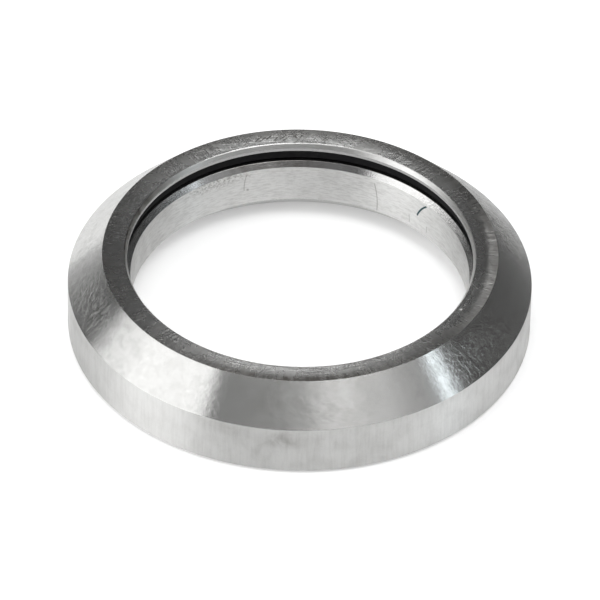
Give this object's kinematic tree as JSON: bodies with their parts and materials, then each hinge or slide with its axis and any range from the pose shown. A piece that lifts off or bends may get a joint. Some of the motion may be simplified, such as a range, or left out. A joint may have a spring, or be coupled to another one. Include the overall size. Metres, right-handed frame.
{
  "type": "headset bearing",
  "caption": "Sealed angular contact ring bearing for a bicycle headset: two steel rings with 45 degree seats, rolling balls in a crown cage, and rubber seals.",
  "frame": {"origin": "on the bearing's axis, in the plane of its bottom face", "axes": "+Z along the axis, from the end with the inner seat towards the end with the outer seat; +X through the middle of the first ball"},
  "size_m": [0.0418, 0.0418, 0.008],
  "materials": {
    "ring_steel": "turned and ground bearing steel, lightly scratched",
    "ball_steel": "polished bearing steel with a film of grease",
    "cage_nylon": "moulded nylon, satin",
    "seal_rubber": "moulded nitrile rubber, satin"
  },
  "bodies": {
    "outer": {"outer_ring": "ring_steel", "upper_seal": "seal_rubber", "lower_seal": "seal_rubber"},
    "inner": {"inner_ring": "ring_steel"},
    "cage": {"cage": "cage_nylon"},
    "ball_01": {"ball_01": "ball_steel"},
    "ball_02": {"ball_02": "ball_steel"},
    "ball_03": {"ball_03": "ball_steel"},
    "ball_04": {"ball_04": "ball_steel"},
    "ball_05": {"ball_05": "ball_steel"},
    "ball_06": {"ball_06": "ball_steel"},
    "ball_07": {"ball_07": "ball_steel"},
    "ball_08": {"ball_08": "ball_steel"},
    "ball_09": {"ball_09": "ball_steel"},
    "ball_10": {"ball_10": "ball_steel"},
    "ball_11": {"ball_11": "ball_steel"},
    "ball_12": {"ball_12": "ball_steel"},
    "ball_13": {"ball_13": "ball_steel"},
    "ball_14": {"ball_14": "ball_steel"},
    "ball_15": {"ball_15": "ball_steel"},
    "ball_16": {"ball_16": "ball_steel"},
    "ball_17": {"ball_17": "ball_steel"},
    "ball_18": {"ball_18": "ball_steel"},
    "ball_19": {"ball_19": "ball_steel"},
    "ball_20": {"ball_20": "ball_steel"},
    "ball_21": {"ball_21": "ball_steel"},
    "ball_22": {"ball_22": "ball_steel"},
    "ball_23": {"ball_23": "ball_steel"},
    "ball_24": {"ball_24": "ball_steel"},
    "ball_25": {"ball_25": "ball_steel"},
    "ball_26": {"ball_26": "ball_steel"},
    "ball_27": {"ball_27": "ball_steel"},
    "ball_28": {"ball_28": "ball_steel"}
  },
  "joints": [
    {"name": "inner_spin", "type": "hinge", "parent": "outer", "child": "inner", "pos_m": [0, 0, 0.003], "axis": [0, 0, 1], "continuous": true},
    {"name": "cage_orbit", "type": "hinge", "parent": "outer", "child": "cage", "pos_m": [0, 0, 0.0034], "axis": [0, 0, 1], "continuous": true},
    {"name": "ball_01_roll", "type": "hinge", "parent": "cage", "child": "ball_01", "pos_m": [0.01808, 0, 0.0034], "axis": [0.7071, 0, -0.7071], "continuous": true},
    {"name": "ball_02_roll", "type": "hinge", "parent": "cage", "child": "ball_02", "pos_m": [0.01762, 0.00402, 0.0034], "axis": [0.6894, 0.1573, -0.7071], "continuous": true},
    {"name": "ball_03_roll", "type": "hinge", "parent": "cage", "child": "ball_03", "pos_m": [0.01629, 0.00784, 0.0034], "axis": [0.6371, 0.3068, -0.7071], "continuous": true},
    {"name": "ball_04_roll", "type": "hinge", "parent": "cage", "child": "ball_04", "pos_m": [0.01413, 0.01127, 0.0034], "axis": [0.5528, 0.4409, -0.7071], "continuous": true},
    {"name": "ball_05_roll", "type": "hinge", "parent": "cage", "child": "ball_05", "pos_m": [0.01127, 0.01413, 0.0034], "axis": [0.4409, 0.5528, -0.7071], "continuous": true},
    {"name": "ball_06_roll", "type": "hinge", "parent": "cage", "child": "ball_06", "pos_m": [0.00784, 0.01629, 0.0034], "axis": [0.3068, 0.6371, -0.7071], "continuous": true},
    {"name": "ball_07_roll", "type": "hinge", "parent": "cage", "child": "ball_07", "pos_m": [0.00402, 0.01762, 0.0034], "axis": [0.1573, 0.6894, -0.7071], "continuous": true},
    {"name": "ball_08_roll", "type": "hinge", "parent": "cage", "child": "ball_08", "pos_m": [0, 0.01808, 0.0034], "axis": [0, 0.7071, -0.7071], "continuous": true},
    {"name": "ball_09_roll", "type": "hinge", "parent": "cage", "child": "ball_09", "pos_m": [-0.00402, 0.01762, 0.0034], "axis": [-0.1573, 0.6894, -0.7071], "continuous": true},
    {"name": "ball_10_roll", "type": "hinge", "parent": "cage", "child": "ball_10", "pos_m": [-0.00784, 0.01629, 0.0034], "axis": [-0.3068, 0.6371, -0.7071], "continuous": true},
    {"name": "ball_11_roll", "type": "hinge", "parent": "cage", "child": "ball_11", "pos_m": [-0.01127, 0.01413, 0.0034], "axis": [-0.4409, 0.5528, -0.7071], "continuous": true},
    {"name": "ball_12_roll", "type": "hinge", "parent": "cage", "child": "ball_12", "pos_m": [-0.01413, 0.01127, 0.0034], "axis": [-0.5528, 0.4409, -0.7071], "continuous": true},
    {"name": "ball_13_roll", "type": "hinge", "parent": "cage", "child": "ball_13", "pos_m": [-0.01629, 0.00784, 0.0034], "axis": [-0.6371, 0.3068, -0.7071], "continuous": true},
    {"name": "ball_14_roll", "type": "hinge", "parent": "cage", "child": "ball_14", "pos_m": [-0.01762, 0.00402, 0.0034], "axis": [-0.6894, 0.1573, -0.7071], "continuous": true},
    {"name": "ball_15_roll", "type": "hinge", "parent": "cage", "child": "ball_15", "pos_m": [-0.01808, 0, 0.0034], "axis": [-0.7071, 0, -0.7071], "continuous": true},
    {"name": "ball_16_roll", "type": "hinge", "parent": "cage", "child": "ball_16", "pos_m": [-0.01762, -0.00402, 0.0034], "axis": [-0.6894, -0.1573, -0.7071], "continuous": true},
    {"name": "ball_17_roll", "type": "hinge", "parent": "cage", "child": "ball_17", "pos_m": [-0.01629, -0.00784, 0.0034], "axis": [-0.6371, -0.3068, -0.7071], "continuous": true},
    {"name": "ball_18_roll", "type": "hinge", "parent": "cage", "child": "ball_18", "pos_m": [-0.01413, -0.01127, 0.0034], "axis": [-0.5528, -0.4409, -0.7071], "continuous": true},
    {"name": "ball_19_roll", "type": "hinge", "parent": "cage", "child": "ball_19", "pos_m": [-0.01127, -0.01413, 0.0034], "axis": [-0.4409, -0.5528, -0.7071], "continuous": true},
    {"name": "ball_20_roll", "type": "hinge", "parent": "cage", "child": "ball_20", "pos_m": [-0.00784, -0.01629, 0.0034], "axis": [-0.3068, -0.6371, -0.7071], "continuous": true},
    {"name": "ball_21_roll", "type": "hinge", "parent": "cage", "child": "ball_21", "pos_m": [-0.00402, -0.01762, 0.0034], "axis": [-0.1573, -0.6894, -0.7071], "continuous": true},
    {"name": "ball_22_roll", "type": "hinge", "parent": "cage", "child": "ball_22", "pos_m": [0, -0.01808, 0.0034], "axis": [0, -0.7071, -0.7071], "continuous": true},
    {"name": "ball_23_roll", "type": "hinge", "parent": "cage", "child": "ball_23", "pos_m": [0.00402, -0.01762, 0.0034], "axis": [0.1573, -0.6894, -0.7071], "continuous": true},
    {"name": "ball_24_roll", "type": "hinge", "parent": "cage", "child": "ball_24", "pos_m": [0.00784, -0.01629, 0.0034], "axis": [0.3068, -0.6371, -0.7071], "continuous": true},
    {"name": "ball_25_roll", "type": "hinge", "parent": "cage", "child": "ball_25", "pos_m": [0.01127, -0.01413, 0.0034], "axis": [0.4409, -0.5528, -0.7071], "continuous": true},
    {"name": "ball_26_roll", "type": "hinge", "parent": "cage", "child": "ball_26", "pos_m": [0.01413, -0.01127, 0.0034], "axis": [0.5528, -0.4409, -0.7071], "continuous": true},
    {"name": "ball_27_roll", "type": "hinge", "parent": "cage", "child": "ball_27", "pos_m": [0.01629, -0.00784, 0.0034], "axis": [0.6371, -0.3068, -0.7071], "continuous": true},
    {"name": "ball_28_roll", "type": "hinge", "parent": "cage", "child": "ball_28", "pos_m": [0.01762, -0.00402, 0.0034], "axis": [0.6894, -0.1573, -0.7071], "continuous": true}
  ],
  "couplings": [
    {"joint": "cage_orbit", "follows": "inner_spin", "ratio": 0.46895},
    {"joint": "ball_01_roll", "follows": "inner_spin", "ratio": 5.671},
    {"joint": "ball_02_roll", "follows": "inner_spin", "ratio": 5.671},
    {"joint": "ball_03_roll", "follows": "inner_spin", "ratio": 5.671},
    {"joint": "ball_04_roll", "follows": "inner_spin", "ratio": 5.671},
    {"joint": "ball_05_roll", "follows": "inner_spin", "ratio": 5.671},
    {"joint": "ball_06_roll", "follows": "inner_spin", "ratio": 5.671},
    {"joint": "ball_07_roll", "follows": "inner_spin", "ratio": 5.671},
    {"joint": "ball_08_roll", "follows": "inner_spin", "ratio": 5.671},
    {"joint": "ball_09_roll", "follows": "inner_spin", "ratio": 5.671},
    {"joint": "ball_10_roll", "follows": "inner_spin", "ratio": 5.671},
    {"joint": "ball_11_roll", "follows": "inner_spin", "ratio": 5.671},
    {"joint": "ball_12_roll", "follows": "inner_spin", "ratio": 5.671},
    {"joint": "ball_13_roll", "follows": "inner_spin", "ratio": 5.671},
    {"joint": "ball_14_roll", "follows": "inner_spin", "ratio": 5.671},
    {"joint": "ball_15_roll", "follows": "inner_spin", "ratio": 5.671},
    {"joint": "ball_16_roll", "follows": "inner_spin", "ratio": 5.671},
    {"joint": "ball_17_roll", "follows": "inner_spin", "ratio": 5.671},
    {"joint": "ball_18_roll", "follows": "inner_spin", "ratio": 5.671},
    {"joint": "ball_19_roll", "follows": "inner_spin", "ratio": 5.671},
    {"joint": "ball_20_roll", "follows": "inner_spin", "ratio": 5.671},
    {"joint": "ball_21_roll", "follows": "inner_spin", "ratio": 5.671},
    {"joint": "ball_22_roll", "follows": "inner_spin", "ratio": 5.671},
    {"joint": "ball_23_roll", "follows": "inner_spin", "ratio": 5.671},
    {"joint": "ball_24_roll", "follows": "inner_spin", "ratio": 5.671},
    {"joint": "ball_25_roll", "follows": "inner_spin", "ratio": 5.671},
    {"joint": "ball_26_roll", "follows": "inner_spin", "ratio": 5.671},
    {"joint": "ball_27_roll", "follows": "inner_spin", "ratio": 5.671},
    {"joint": "ball_28_roll", "follows": "inner_spin", "ratio": 5.671}
  ]
}
